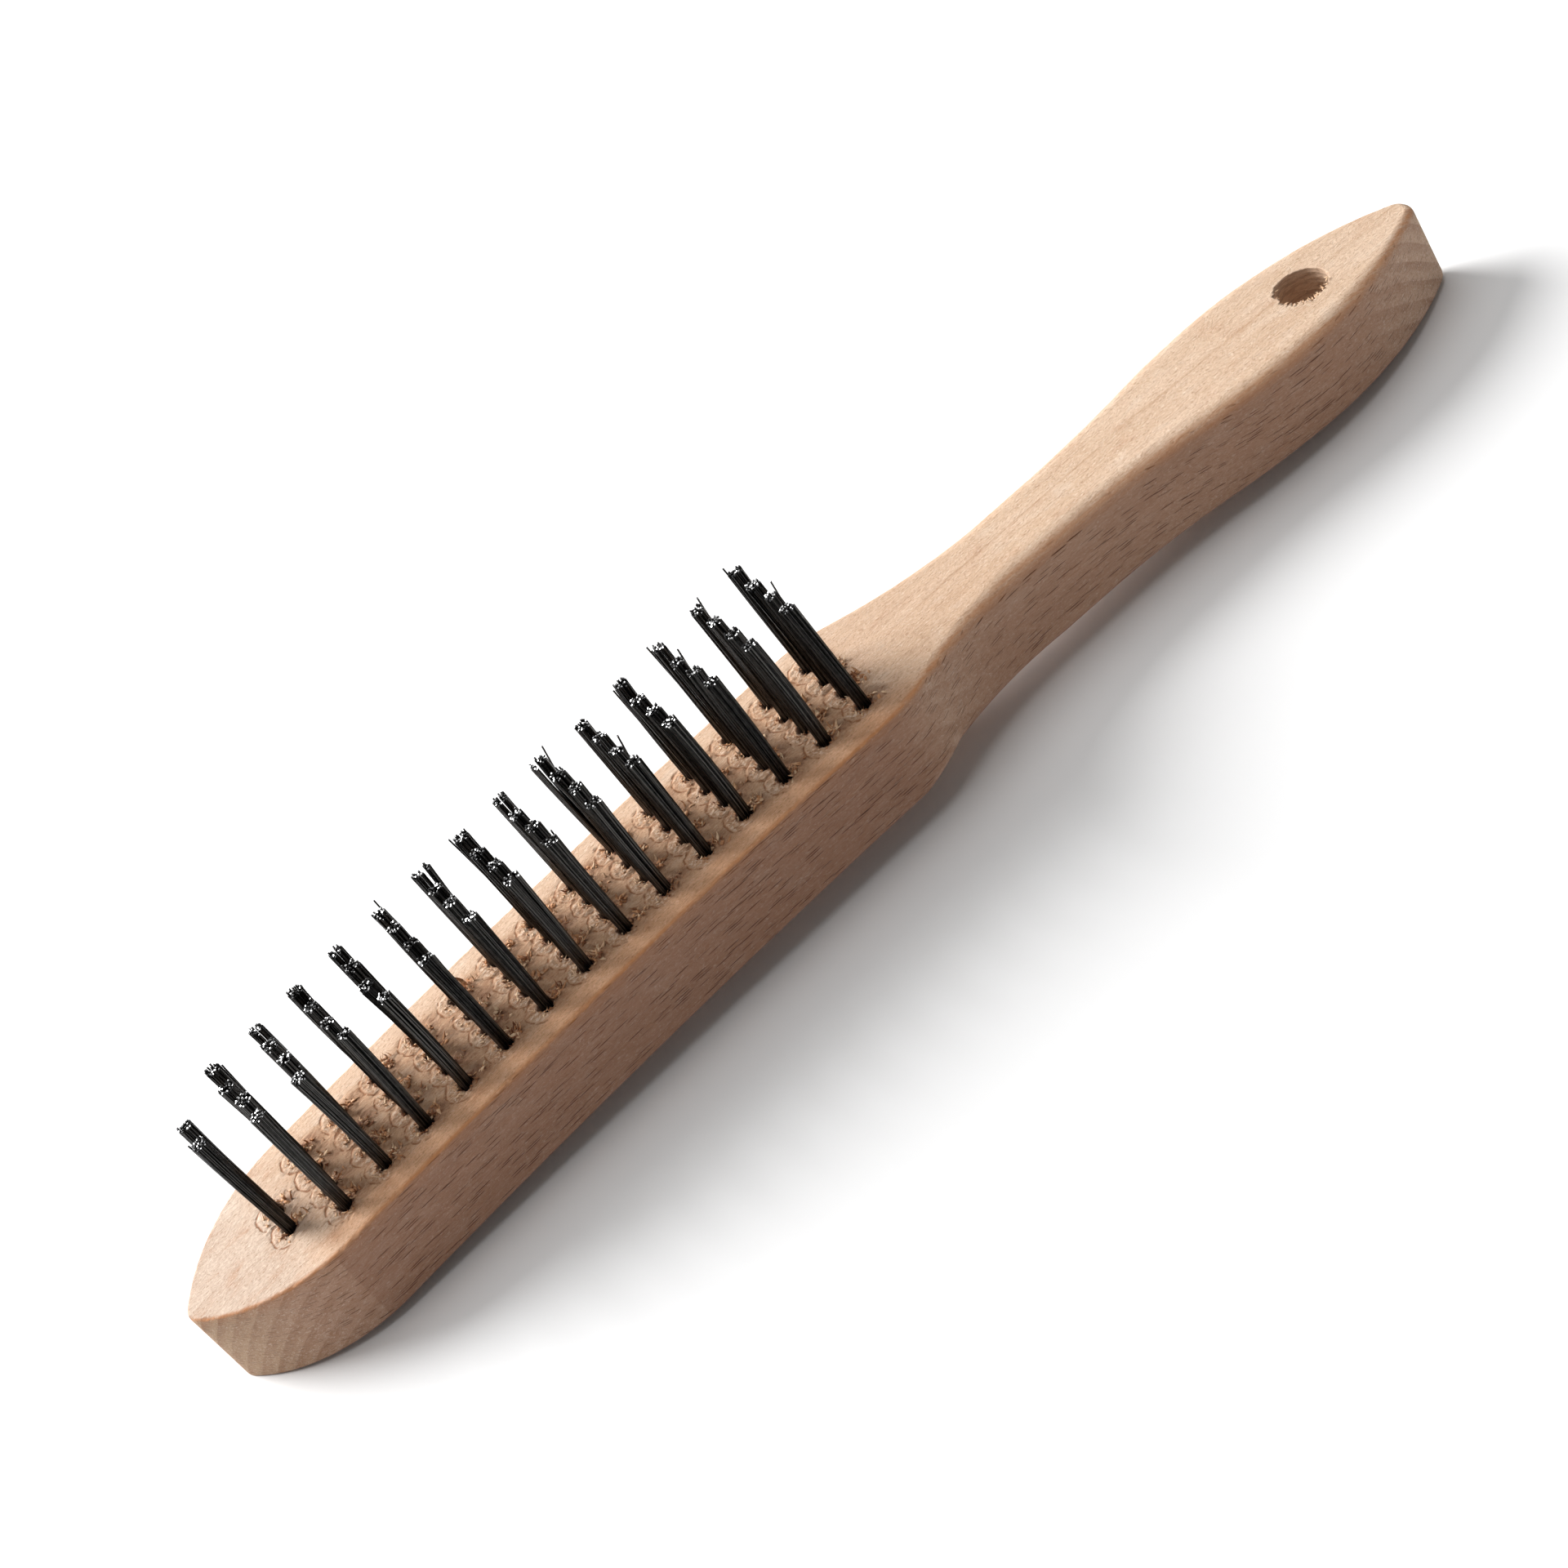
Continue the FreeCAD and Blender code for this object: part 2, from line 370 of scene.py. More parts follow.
def face_areas(wood):
    """Areas of the face coloured apart: head, its near margin, tuft field and neck. The near margin's warm
    dark tone is painted shade of the tufts, and the field's is partly painted shade between the tufts.
    """
    x, y, on_top = wood.x, wood.y, wood.on_top
    head = wood.product(wood.smooth(x, 16, 34), wood.smooth(x, 168, 150))
    shaded_margin = wood.product(wood.smooth(y, -9.0, -13.5), head, on_top)
    across = wood.smooth(wood.math("ABSOLUTE", y), 13.0, 10.0)
    field = wood.product(across, wood.smooth(x, 22, 34), wood.smooth(x, 158, 152), on_top)
    neck = wood.product(wood.smooth(x, 150, 160), wood.smooth(x, 200, 178), on_top)
    return head, shaded_margin, field, neck


def ground_colour(wood, head):
    """Tone of the wood before its grain: the sanded face is paler than the sides. The sides' darker colours
    are partly the wood's own tone and partly painted shade of sides turned from the light.
    """
    sanded, shaped_and_shaded, planed_and_shaded = (wood.mix(wood.figure, srgb(*pale), srgb(*deep))
                              for pale, deep in (SANDED, SHAPED_AND_SHADED, PLANED_AND_SHADED))
    sanded = wood.tint(sanded, NOSE, wood.smooth(wood.x, 40, 8, 0.0, 0.8))
    sanded = wood.tint(sanded, HEAD, head, 0.6)
    from_nose = wood.smooth(wood.x, PLANED_FROM_X - 0.3, PLANED_FROM_X)
    straight = wood.product(from_nose, wood.smooth(wood.x, 158, 148))
    # Darker sides: partly the wood's own tone, partly painted shade
    sides = wood.mix(straight, shaped_and_shaded, planed_and_shaded)
    sides = wood.tint(sides, BARE_END_GRAIN, wood.end_grain, wood.smooth(wood.x, 30, 200, 0.26, 0.75))
    sides = wood.tint(sides, END_ON, wood.end_on)
    return wood.mix(wood.on_top, sides, sanded)


def add_clouds(wood, colour, field):
    """Soft dark and pale patches, strongest between the tufts and on the nose."""
    cloudy = wood.math("MULTIPLY_ADD", field, 0.25, wood.math("MULTIPLY_ADD", wood.on_top, 0.24, 0.06))
    on_nose = wood.smooth(wood.x, 40, 20, 0.0, 0.22)
    cloudy = wood.math("MULTIPLY_ADD", on_nose, wood.on_top, cloudy)
    colour = wood.tint(colour, DARK_CLOUD, wood.smooth(wood.cloud, 0.5, 0.75), cloudy)
    return wood.tint(colour, PALE_CLOUD, wood.smooth(wood.cloud, 0.48, 0.28), cloudy)


def layer_coordinates(wood):
    """Coordinates across and along the growth layers, in the block's cross-section."""
    across_y, across_z = ACROSS_LAYERS
    radial = wood.math("MULTIPLY_ADD", wood.y, across_y, wood.math("MULTIPLY", wood.z, across_z))
    radial = wood.math("MULTIPLY_ADD", wood.warp, 4.0, radial)
    tangential = wood.math("MULTIPLY_ADD", wood.y, across_z, wood.math("MULTIPLY", wood.z, -across_y))
    return radial, tangential


def growth_line(wood):
    """The one growth layer that shows as a line along the top of the grip."""
    drift = wood.noise(wood.combine(wood.math("MULTIPLY", wood.x, 1 / 26), 0.0, 0.0), 1.0, 3.0)
    middle = wood.math("MULTIPLY_ADD", drift, 2.6, 0.1)
    away = wood.math("SUBTRACT", wood.y, middle)
    thin = wood.smooth(wood.math("ABSOLUTE", away), 0.48, 0.05)
    wide = wood.product(wood.smooth(away, -1.6, -0.1), wood.smooth(away, 0.3, 0.0))
    both = wood.math("MULTIPLY_ADD", wide, 0.5, wood.math("MULTIPLY", thin, 0.5))
    return wood.product(both, wood.smooth(wood.x, 158, 188))


def add_grain(wood, colour, radial):
    """Growth bands on the ends, streaks, fibres, the nap of the sanded wood and the growth line."""
    growth = wood.math("FRACT", wood.math("MULTIPLY", radial, 1 / GROWTH_LAYER))
    latewood = wood.product(wood.smooth(growth, 0.1, 0.92), wood.smooth(growth, 1.0, 0.92))
    banding = wood.math("MULTIPLY_ADD", wood.end_grain, 0.46, 0.06)
    uneven = wood.smooth(wood.noise(wood.place, 0.09, 1.0), 0.35, 0.6, 0.5, 1.0)
    colour = wood.tint(colour, LATEWOOD, latewood, banding, uneven)
    colour = wood.tint(colour, STREAK, wood.smooth(wood.streak, 0.5, 0.8, 0.0, 0.3))
    colour = wood.tint(colour, DARK_FIBRE, wood.smooth(wood.fibre, 0.5, 0.75, 0.0, 0.5))
    paleness = wood.math("MULTIPLY_ADD", wood.on_top, 0.14, 0.1)
    colour = wood.tint(colour, PALE_FIBRE, wood.smooth(wood.fibre, 0.48, 0.3), paleness)
    nap = wood.math("MULTIPLY_ADD", wood.end_grain, 0.2, wood.math("MULTIPLY_ADD", wood.on_top, 0.32, 0.16))
    colour = wood.tint(colour, DARK_NAP, wood.smooth(wood.nap, 0.52, 0.68), nap)
    colour = wood.tint(colour, PALE_NAP, wood.smooth(wood.nap, 0.47, 0.32), nap)
    line = growth_line(wood)
    broken = wood.smooth(wood.streak, 0.35, 0.6, 0.15, 1.0)
    return wood.tint(colour, GROWTH_LINE, line, wood.on_top, broken, 0.4)


def ray_dashes(wood, radial, tangential):
    """Rays: thin ribbons that run radially, cut across by the sides as short dark dashes."""
    layer = wood.math("MULTIPLY", tangential, 1 / RAY_PITCH)
    along = wood.math("MULTIPLY_ADD", layer, RAY_SHIFT, wood.math("MULTIPLY", wood.x, 1 / RAY_LENGTH))
    place = wood.combine(along, wood.math("MULTIPLY", radial, 1 / RAY_HEIGHT), layer)
    cells = wood.tree.nodes.new("ShaderNodeTexVoronoi")
    wood.set(cells.inputs["Vector"], place)
    wood.set(cells.inputs["Scale"], 1.0)
    wood.set(cells.inputs["Randomness"], 0.6)
    chance = wood.separate(cells.outputs["Color"])
    kept = wood.smooth(chance[0], 0.35, 0.75)
    off_top = wood.math("MULTIPLY_ADD", wood.on_top, -0.92, 1.0)
    off_ends = wood.math("MULTIPLY_ADD", wood.end_grain, -0.55, 1.0)
    return wood.product(wood.smooth(cells.outputs["Distance"], 0.34, 0.27), kept, off_top, off_ends)


def nearest(wood, value, first, pitch, last):
    """Number, from 0 to last, of the evenly spaced place nearest to value, and that place."""
    number = wood.math("ROUND", wood.math("DIVIDE", wood.math("SUBTRACT", value, first), pitch))
    number = wood.math("MINIMUM", wood.math("MAXIMUM", number, 0.0), last)
    return number, wood.math("MULTIPLY_ADD", number, pitch, first)


def ring_distances(wood, wobble):
    """Distance past the rim of the nearest nozzle mark, and the offset along x from its middle.

    Neighbouring marks meet, so each second column is looked at apart: two distances are given."""
    row, row_x = nearest(wood, wood.x, FIRST_ROW_X, ROW_PITCH, ROWS - 1.0)
    across_x = wood.math("SUBTRACT", wood.x, wood.math("ADD", row_x, RING_OFFSET))
    in_nose_row = wood.math("LESS_THAN", row, 0.5)
    distances = []
    for near_y, missing in ((-1.5 * COLUMN_PITCH, 0.0), (-0.5 * COLUMN_PITCH, 1.0)):
        column, column_y = nearest(wood, wood.y, near_y, 2 * COLUMN_PITCH, 1.0)
        across_y = wood.math("SUBTRACT", wood.y, column_y)
        squares = wood.math("MULTIPLY_ADD", across_x, across_x, wood.product(across_y, across_y))
        is_missing = wood.math("COMPARE", column, missing, 0.1)
        far = wood.product(is_missing, in_nose_row, NO_TUFT_DISTANCE)
        distance = wood.math("ADD", wood.math("SQRT", squares), far)
        distances.append(wood.math("ADD", wood.math("SUBTRACT", distance, RING_R), wobble))
    return distances, across_x


def nozzle_marks(wood):
    """The line of each mark and the pressed wood inside it, both on the nose side of the tuft."""
    wobble = wood.product(wood.math("SUBTRACT", wood.noise(wood.place, 0.55, 1.0), 0.5), 0.9)
    distances, across_x = ring_distances(wood, wobble)
    lines = [wood.smooth(wood.math("ABSOLUTE", distance), 0.3, 0.05) for distance in distances]
    insides = [wood.smooth(distance, -0.25, -0.65) for distance in distances]
    on_face = wood.product(wood.smooth(wood.z, -0.5, -0.2), wood.on_top)
    broken = wood.smooth(wood.noise(wood.place, 0.8, 2.0), 0.38, 0.54)
    line = wood.product(wood.math("MAXIMUM", *lines), broken, wood.smooth(across_x, 1.2, -2.2), on_face)
    pressed = wood.product(wood.math("MAXIMUM", *insides), on_face, wood.smooth(across_x, 1.5, -1.0))
    return line, pressed


def add_cut_marks_and_shade(wood, colour):
    """Ripped wood at the tufts with painted shade at their bases and under the heaps, a warm line of
    painted shade along the near rounded edges, and the drilled wall of the hanging hole.
    """
    # Ripped wood, darkened with painted shade at the tuft bases and under the heaps
    colour = wood.tint(colour, TORN_AND_SHADE, wood.attribute("torn_and_shade"), 0.88)
    # Warm line along the rounded edges, strongest on the near side: painted shade where the rounding turns
    # from the lit face
    uneven = wood.smooth(wood.streak, 0.3, 0.6, 0.4, 1.0)
    colour = wood.tint(colour, EDGE_SHADE, wood.attribute("edge"), uneven, 0.8)
    bore = wood.attribute("bore")
    colour = wood.tint(colour, BORE, bore, 0.8)
    drill_marks = wood.noise(wood.scaled(wood.place, (1 / 3.0, 1 / 3.0, 1 / 0.5)), 1.0, 3.0, 0.6)
    return wood.tint(colour, DRILL_MARK, wood.smooth(drill_marks, 0.46, 0.62), bore, 0.32)


def beech_material():
    wood = Beech()
    head, shaded_margin, field, neck = face_areas(wood)
    radial, tangential = layer_coordinates(wood)
    dash = ray_dashes(wood, radial, tangential)
    line, pressed = nozzle_marks(wood)

    colour = ground_colour(wood, head)
    colour = add_clouds(wood, colour, field)
    colour = add_grain(wood, colour, radial)
    colour = wood.tint(colour, RAY, dash, 0.9)
    # Warm, darker near margin of the head: painted shade of the tufts' shadows
    colour = wood.filtered(colour, (1.05, 0.83, 0.66), shaded_margin, 0.9)
    # Darker, browner tuft field: partly the wood's own tone, partly painted shade between the tufts
    colour = wood.filtered(colour, (0.75, 0.65, 0.56), field)
    colour = wood.filtered(colour, (0.93, 0.9, 0.88), neck)
    colour = wood.tint(colour, PALE_CHIP, wood.smooth(wood.chips, 0.5, 0.6), pressed, 0.5)
    colour = wood.tint(colour, DARK_CHIP, wood.smooth(wood.chips, 0.47, 0.38), pressed, 0.4)
    colour = wood.tint(colour, RING_LINE, line, 0.85)
    colour = add_cut_marks_and_shade(wood, colour)
    wood.set(wood.shader.inputs["Base Color"], colour)
    wood.set(wood.shader.inputs["Roughness"], wood.smooth(wood.fibre, 0.3, 0.7, 0.62, 0.8))
    wood.set(wood.shader.inputs["Specular IOR Level"], 0.28)

    relief = wood.math("MULTIPLY_ADD", wood.fibre, 0.16, wood.math("MULTIPLY", wood.nap, 0.3))
    relief = wood.math("MULTIPLY_ADD", dash, -0.08, relief)
    relief = wood.math("MULTIPLY_ADD", line, -0.1, relief)
    relief = wood.math("MULTIPLY_ADD", wood.product(wood.chips, pressed), 0.36, relief)
    wood.set(wood.shader.inputs["Normal"], wood.bump(relief, MM, 0.9))
    return wood.material


# ---------------------------------------------------------------- other materials

def torn_fibre_material():
    nodes = Nodes("torn_beech")
    position = nodes.node("ShaderNodeTexCoord", output=3)
    tone = nodes.attribute("tone")
    grain = nodes.noise(nodes.scaled(position, (900, 5000, 5000)), 1.0, 3.0, 0.6)
    colour = nodes.mix(nodes.smooth(tone, 0.0, 0.55), srgb(236, 204, 168), srgb(202, 148, 106))
    colour = nodes.mix(nodes.smooth(tone, 0.55, 1.0), colour, srgb(128, 80, 54))
    colour = nodes.mix(nodes.smooth(grain, 0.45, 0.8, 0.0, 0.4), colour, srgb(150, 100, 66))
    nodes.set(nodes.shader.inputs["Base Color"], colour)
    nodes.set(nodes.shader.inputs["Roughness"], nodes.smooth(grain, 0.3, 0.7, 0.65, 0.85))
    nodes.set(nodes.shader.inputs["Specular IOR Level"], 0.25)
    nodes.set(nodes.shader.inputs["Normal"], nodes.bump(grain, MM, 0.1))
    return nodes.material


def wire_material(name, dark, light, rough, dark_share=0.0):
    """Drawn steel wire: tone differs from strand to strand, with fine marks along the drawing."""
    nodes = Nodes(name)
    position = nodes.node("ShaderNodeTexCoord", output=3)
    tone = nodes.attribute("tone")
    drawn = nodes.noise(nodes.scaled(position, (6000, 6000, 260)), 1.0, 2.0, 0.6)
    spots = nodes.noise(nodes.scaled(position, (1500, 1500, 700)), 1.0, 2.0, 0.6)
    mottled = nodes.math("MULTIPLY_ADD", nodes.math("SUBTRACT", spots, 0.5), 0.8, tone)
    colour = nodes.mix(nodes.smooth(mottled, dark_share, 1.0), dark, light)
    nodes.set(nodes.shader.inputs["Base Color"], colour)
    nodes.set(nodes.shader.inputs["Roughness"], nodes.smooth(drawn, 0.25, 0.75, rough - 0.07, rough + 0.1))
    nodes.set(nodes.shader.inputs["Normal"], nodes.bump(drawn, 0.02 * MM, 0.35))
    nodes.shader.inputs["Metallic"].default_value = 1.0
    return nodes.material


def floor_material():
    nodes = Nodes("pale_floor")
    nodes.shader.inputs["Base Color"].default_value = (0.87, 0.87, 0.87, 1.0)
    nodes.shader.inputs["Roughness"].default_value = 0.9
    nodes.shader.inputs["Specular IOR Level"].default_value = 0.1
    return nodes.material


# ---------------------------------------------------------------- block

def arc_turn(big_r, small_r, half_width):
    """Degrees the outline turns along an arc from its widest place to where a tip arc takes over."""
    return 90 - math.degrees(math.asin((big_r - half_width) / (big_r - small_r)))


def outline_stations():
    """x, y and heading of the stations along one side of the outline, from nose tip to tail tip."""
    nose_turn = arc_turn(NOSE_ARC_R, NOSE_TIP_R, HEAD_HALF_WIDTH)
    # each stretch: degrees turned, radius or length, and how far apart its stations are
    head = [(nose_turn - 90, NOSE_TIP_R, 0.3), (-nose_turn, NOSE_ARC_R, 0.34)]
    head.append((0, SHOULDER_X - walk(head)[-1][0], 0.33))
    neck = [(-SHOULDER_TURN, SHOULDER_R, 0.45), (SHOULDER_TURN, NECK_R, 0.9)]
    grip = [(GRIP_TURN, GRIP_HOLLOW_R, 1.0), (-GRIP_TURN, GRIP_SWELL_R, 1.0)]
    widest = walk(head + neck + grip)[-1]
    tail_turn = arc_turn(TAIL_ARC_R, TAIL_TIP_R, widest[1])
    tail = [(-tail_turn, TAIL_ARC_R, 0.9), (tail_turn - 90, TAIL_TIP_R, 0.4)]
    spare = LENGTH - walk(head + neck + grip + tail)[-1][0]
    return np.array(walk(head + neck + [(0, spare, 1.0)] + grip + tail))


def walk(segments):
    """Stations along arcs and straights, each given as its turn in degrees, radius or length, and step."""
    x, y, heading = 0.0, 0.0, math.pi / 2
    stations = [(x, y, heading)]
    for turn, size, step in segments:
        length = size * abs(math.radians(turn)) if turn else size
        count = max(1, round(length / step))
        half = math.radians(turn) / count / 2
        chord = 2 * size * math.sin(abs(half)) if turn else size / count
        for _ in range(count):
            x += chord * math.cos(heading + half)
            y += chord * math.sin(heading + half)
            heading += 2 * half
            stations.append((x, y, heading))
    return stations


def half_sections(stations):
    """Points of the surface at each station, from mid face round one side to mid back."""
    x, y, heading = stations.T
    inward_x, inward_y = np.sin(heading), -np.cos(heading)
    face_r = np.interp(x, *FACE_EDGE)
    back_r = np.interp(x, *BACK_EDGE)

    def at_inset(inset, drop, rise):
        px, py = x + inward_x * inset, y + inward_y * inset
        return np.stack([px, py, bow_height(px) - drop + rise], 1)

    inner_face = at_inset(face_r, 0.0, 0.0)
    inner_back = at_inset(back_r, THICKNESS, 0.0)
    loops = [inner_face * (1, share, 1) for share in np.linspace(0, 1, FACE_COLUMNS)]
    for angle in np.radians(np.linspace(90, 0, EDGE_COLUMNS)[1:]):
        loops.append(at_inset(face_r * (1 - math.cos(angle)), face_r * (1 - math.sin(angle)), 0.0))
    top, bottom = loops[-1], at_inset(0.0 * x, THICKNESS, back_r)
    loops += [top + (bottom - top) * share for share in np.linspace(0, 1, SIDE_COLUMNS)[1:]]
    for angle in np.radians(np.linspace(0, 90, EDGE_COLUMNS)[1:]):
        loops.append(at_inset(back_r * (1 - math.cos(angle)), THICKNESS, back_r * (1 - math.sin(angle))))
    loops += [inner_back * (1, share, 1) for share in np.linspace(1, 0, BACK_COLUMNS)[1:]]
    return np.stack(loops, 1)


def block_grid():
    """Vertices and quads of the plain block. The ends close where both sides meet."""
    half = half_sections(outline_stations())
    other = half[:, -2:0:-1] * (1, -1, 1)
    loops = np.concatenate([half, other], 1)
    count, around = loops.shape[:2]
    index = np.arange(count * around).reshape(count, around)
    following = np.roll(index, -1, 1)
    quads = np.stack([index[:-1], following[:-1], following[1:], index[1:]], -1).reshape(-1, 4)
    return loops.reshape(-1, 3), quads


def fuzz(points, size, seed):
    """Smooth noise, about -1 to 1, at points, with features about size long along each axis."""
    size = np.asarray(size, float)
    return np.array([noise.noise(Vector(point / size) + Vector((seed, 0, 0))) for point in points])


def carve_round_tuft(points, torn_and_shade, on_face, row, column):
    """Sinks one tuft hole and its nozzle mark, raises the wood ripped round them, and marks it in torn,
    with painted shade at the hole's rim and under the heap.
    """
    x, y = tuft_place(row, column)
    chosen = np.flatnonzero(on_face & (np.hypot(points[:, 0] - x, points[:, 1] - y) < CARVED_R))
    around = points[chosen] * (1, 1, 0)
    from_x, from_y = (points[chosen, :2] - (x, y)).T
    reach = np.hypot(from_x, from_y)
    ragged = fuzz(around, (0.7, 0.45, 9), row * 3.1)
    lumps = fuzz(around, (1.1, 0.8, 9), row * 1.7 + 9)
    lumps *= np.clip((CARVED_R - reach) / 1.5, 0, 1)
    ridges = 1 - 2 * np.abs(fuzz(around, (1.1, 0.55, 9), row * 5.7 + 2))
    whole = np.clip(0.35 + 1.8 * fuzz(around, (2.6, 2.2, 9), row * 2.3 + 5), 0, 1)
    on_nose_side = np.clip(0.7 - from_x / 4, 0, 1)

    past_ring = np.hypot(from_x - RING_OFFSET, from_y) - RING_R
    groove = RING_DEPTH * np.exp(-(past_ring / RING_HALF_WIDTH) ** 2) * whole * on_nose_side
    pressed = np.clip(-past_ring / 0.5, 0, 1) * (0.1 - 0.1 * ridges)
    burr = np.exp(-((reach - BURR_R) / BURR_HALF_WIDTH) ** 2)
    across_heap = np.hypot((from_x - HEAP_OFFSET) / HEAP_HALF_LENGTH, from_y / HEAP_HALF_WIDTH)
    heap = np.exp(-across_heap ** 2) * rng.uniform(0.6, 1.3)
    raised = burr * (0.08 + 0.22 * ragged) + heap * (0.05 + 0.34 * ridges)
    points[chosen, 2] -= groove + pressed + LUMP_HEIGHT * lumps - raised
    in_hole = reach + 0.3 * ragged < HOLE_R + 0.16
    points[chosen[in_hole], 2] = -HOLE_DEPTH

    # Dark at the rim of the hole and over the heap: ripped wood, with painted shade where the tuft goes in
    # and under the curls
    stain = np.clip(1.0 - (reach - 1.3) / 0.8 + 0.7 * ragged, 0, 1)
    stain += heap * (0.45 + 0.7 * np.clip(0.6 - ridges, 0, 1))
    torn_and_shade[chosen] = np.maximum(torn_and_shade[chosen], np.clip(stain, 0, 1))


def carve_face(points):
    """Carves the bristle face round every tuft. Gives how ripped each point is, with painted shade at the
    tuft bases and under the heaps.
    """
    torn_and_shade = np.zeros(len(points))
    on_face = points[:, 2] > bow_height(points[:, 0]) - 1e-4
    for row, column, _ in tuft_names():
        carve_round_tuft(points, torn_and_shade, on_face, row, column)
    return torn_and_shade


def hang_hole_cutter():
    """Drill-shaped solid: its wall has the drill's spiral marks and a torn rim at the face."""
    around, layers = 132, 90
    bottom, top = -THICKNESS - 14.0, 2.0
    face = float(bow_height(HANG_HOLE_X))
    points = []
    for level in range(layers + 1):
        z = bottom + (top - bottom) * level / layers
        lift = max(0.0, 1 - max(0.0, face - z) / RIM_TEAR_DEPTH)
        for step in range(around):
            angle = 2 * math.pi * step / around
            spiral = sum(depth * math.sin(2 * math.pi * z / pitch + angle)
                         for depth, pitch in DRILL_SPIRALS)
            direction = Vector((math.cos(angle), math.sin(angle), 0))
            near_side = max(0.0, math.cos(angle - RIM_TEAR_ANGLE)) ** 0.5 * 0.8 + 0.2
            tear = noise.noise(direction * RIM_TEARS + Vector((0, 0, z * 0.5)))
            tear *= RIM_TEAR_SIZE * lift * near_side
            radius = HANG_HOLE_R + spiral + tear + RIM_FLARE * lift ** 3
            points.append((HANG_HOLE_X + radius * direction.x, radius * direction.y, z))
    walls, ends = tube_faces(layers + 1, around)
    return add_object("hang_hole_cutter", new_mesh("hang_hole_cutter", points, ends + walls))


def with_hang_hole(mesh):
    """Mesh with the hanging hole cut through it."""
    block = add_object("uncut_block", mesh)
    cutter = hang_hole_cutter()
    cut = block.modifiers.new("hang_hole", "BOOLEAN")
    cut.operation = "DIFFERENCE"
    cut.solver = "EXACT"
    cut.object = cutter
    graph = bpy.context.evaluated_depsgraph_get()
    result = bpy.data.meshes.new_from_object(block.evaluated_get(graph), preserve_all_data_layers=True,
                                             depsgraph=graph)
    for used in (block, cutter):
        bpy.data.objects.remove(used)
    return result


def weld(mesh):
    """Joins points that coincide and turns the faces outwards."""
    work = bmesh.new()
    work.from_mesh(mesh)
    bmesh.ops.remove_doubles(work, verts=work.verts, dist=1e-5)
    bmesh.ops.recalc_face_normals(work, faces=work.faces)
    work.to_mesh(mesh)
    work.free()


def vertex_points(mesh):
    flat = np.zeros(len(mesh.vertices) * 3)
    mesh.vertices.foreach_get("co", flat)
    return flat.reshape(-1, 3)


def add_attribute(mesh, name, values):
    attribute = mesh.attributes.new(name, "FLOAT", "POINT")
    attribute.data.foreach_set("value", np.asarray(values, np.float32))


def edge_mask(points):
    """1 on the upper part of the rounding between the face and the sides, fading away from it, strongest on
    the near side. As colour it is a warm line of painted shade where the rounding turns from the lit face.
    """
    stations = outline_stations()
    half_width = np.interp(points[:, 0], stations[:, 0], stations[:, 1])
    drop = bow_height(points[:, 0]) - points[:, 2]
    radius = np.interp(points[:, 0], *FACE_EDGE)
    from_side = half_width - np.abs(points[:, 1])
    spread = 0.35 + 0.18 * radius
    grip_r, tail_r = FACE_EDGE[1][2:]
    inset = np.interp(radius, (tail_r, grip_r), (0.4, 0.32))
    depth = 1 - np.sqrt(1 - (1 - inset) ** 2)
    # The painted shade is strongest on the near side, which is turned from the light
    near = np.interp(points[:, 1], (-2, 2), (1.0, 0.25))
    sharp = np.interp(radius, (tail_r, grip_r), (1.0, 0.8))
    away = np.hypot(from_side - inset * radius, drop - depth * radius) / spread
    return near * sharp * np.exp(-away ** 2)


def bore_mask(points):
    """1 on the wall of the hanging hole."""
    reach = np.hypot(points[:, 0] - HANG_HOLE_X, points[:, 1])
    return (reach < HANG_HOLE_R + 0.3).astype(float)


def nick_edge(points, edge):
    """Small nicks along the rounded edges."""
    nicked = edge > 0.05
    nicks = np.clip(2.4 * fuzz(points[nicked], (1.6, 1.6, 9), 4.0), 0, 1)
    points[nicked, 2] -= NICK_DEPTH * edge[nicked] * nicks


def make_block(material):
    points, quads = block_grid()
    mesh = new_mesh("beech_block", points.tolist(), quads.tolist())
    weld(mesh)
    mesh = with_hang_hole(mesh)
    weld(mesh)
    points = vertex_points(mesh)
    add_attribute(mesh, "torn_and_shade", carve_face(points))
    edge = edge_mask(points)
    add_attribute(mesh, "edge", edge)
    nick_edge(points, edge)
    add_attribute(mesh, "bore", bore_mask(points))
    mesh.vertices.foreach_set("co", points.ravel())
    finish_piece(mesh, "beech_block", [material], ["handle_block"])
    for vertex in mesh.vertices:
        vertex.co.z = max(vertex.co.z, 0.0)


def finish_piece(mesh, name, materials, nodes=()):
    """Seats the mesh, gives it its materials, ties it to the body and hides the CAD nodes it stands in for.
    """
    mesh.transform(SEAT)
    mesh.materials.clear()
    for material in materials:
        mesh.materials.append(material)
    mesh.shade_smooth()
    piece = add_object(name, mesh)
    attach(piece, "root")
    if nodes:
        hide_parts(*nodes)


# ---------------------------------------------------------------- tufts

def strand_pairs():
    """Places (x, y) of the strands on the tailward side of the fold. Each has its twin at -x."""
    row_pitch = STRAND_PITCH * math.sqrt(3) / 2
    limit = BUNDLE_R - WIRE_R
    pairs = []
    rows, steps = math.ceil(limit / row_pitch), math.ceil(limit / STRAND_PITCH)
    for row in range(-rows, rows + 1):
        y = row * row_pitch
        for step in range(steps):
            x = (step + (0.5 if row % 2 == 0 else 1.0)) * STRAND_PITCH
            if math.hypot(x, y) <= limit:
                pairs.append((x, y))
    return pairs


